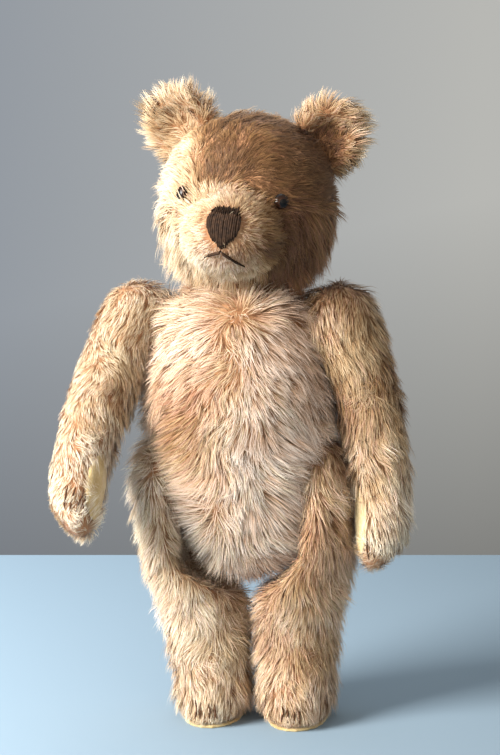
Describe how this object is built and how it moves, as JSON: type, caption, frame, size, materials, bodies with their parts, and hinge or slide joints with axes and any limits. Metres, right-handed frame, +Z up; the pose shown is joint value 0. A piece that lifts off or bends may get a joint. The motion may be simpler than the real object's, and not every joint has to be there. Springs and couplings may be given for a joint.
{
  "type": "jointed teddy bear",
  "caption": "Standing jointed mohair teddy bear with a stitched nose, glass eyes, felt paws and soles, and disc joints at the neck, shoulders and hips.",
  "frame": {"origin": "on the floor, under the middle of the bear's bounding box", "axes": "+Z up, -Y the way the bear faces, +X to the bear's own left"},
  "size_m": [0.2246, 0.1608, 0.4113],
  "materials": {
    "mohair": "matte",
    "wood_wool": "matte",
    "felt": "matte",
    "card": "matte",
    "steel": "satin",
    "glass": "gloss",
    "thread": "matte",
    "oilcloth": "satin",
    "lead": "matte"
  },
  "bodies": {
    "torso": {"torso_cover": "mohair", "torso_stuffing": "wood_wool", "growler_tube": "card", "growler_lid": "steel", "growler_bellows": "oilcloth", "neck_torso_disc": "card", "neck_torso_washer": "steel", "right_shoulder_torso_disc": "card", "right_shoulder_torso_washer": "steel", "right_hip_torso_disc": "card", "right_hip_torso_washer": "steel", "left_shoulder_torso_disc": "card", "left_shoulder_torso_washer": "steel", "left_hip_torso_disc": "card", "left_hip_torso_washer": "steel"},
    "growler_weight": {"growler_weight": "lead"},
    "head": {"head_cover": "mohair", "head_stuffing": "wood_wool", "nose_stitching": "thread", "right_ear": "mohair", "right_eye": "glass", "right_eye_shank": "steel", "right_mouth_stitch": "thread", "left_ear": "mohair", "left_eye": "glass", "left_eye_shank": "steel", "left_mouth_stitch": "thread", "neck_limb_disc": "card", "neck_limb_washer": "steel", "neck_split_pin": "steel"},
    "right_arm": {"right_arm_cover": "mohair", "right_arm_stuffing": "wood_wool", "right_paw_pad": "felt", "right_shoulder_limb_disc": "card", "right_shoulder_limb_washer": "steel", "right_shoulder_split_pin": "steel"},
    "right_leg": {"right_leg_cover": "mohair", "right_leg_stuffing": "wood_wool", "right_sole_pad": "felt", "right_insole_card": "card", "right_hip_limb_disc": "card", "right_hip_limb_washer": "steel", "right_hip_split_pin": "steel"},
    "left_arm": {"left_arm_cover": "mohair", "left_arm_stuffing": "wood_wool", "left_paw_pad": "felt", "left_shoulder_limb_disc": "card", "left_shoulder_limb_washer": "steel", "left_shoulder_split_pin": "steel"},
    "left_leg": {"left_leg_cover": "mohair", "left_leg_stuffing": "wood_wool", "left_sole_pad": "felt", "left_insole_card": "card", "left_hip_limb_disc": "card", "left_hip_limb_washer": "steel", "left_hip_split_pin": "steel"}
  },
  "joints": [
    {"name": "neck_turn", "type": "hinge", "parent": "torso", "child": "head", "pos_m": [-0.00018, 0.0241, 0.281], "axis": [0.0785, 0, 0.9969], "continuous": true},
    {"name": "right_shoulder_turn", "type": "hinge", "parent": "torso", "child": "right_arm", "pos_m": [-0.05218, 0.0241, 0.257], "axis": [-0.9744, 0, 0.225], "range_deg": [-135, 72]},
    {"name": "left_shoulder_turn", "type": "hinge", "parent": "torso", "child": "left_arm", "pos_m": [0.04682, 0.0241, 0.257], "axis": [-0.9744, 0, -0.225], "range_deg": [-105, 100]},
    {"name": "right_hip_turn", "type": "hinge", "parent": "torso", "child": "right_leg", "pos_m": [-0.04318, 0.0211, 0.152], "axis": [-1, 0, 0], "range_deg": [-80, 85]},
    {"name": "left_hip_turn", "type": "hinge", "parent": "torso", "child": "left_leg", "pos_m": [0.04582, 0.0211, 0.152], "axis": [-1, 0, 0], "range_deg": [-80, 85]},
    {"name": "growler_weight_slide", "type": "slide", "parent": "torso", "child": "growler_weight", "axis": [0, -1, 0], "range_m": [0, 0.004]}
  ]
}
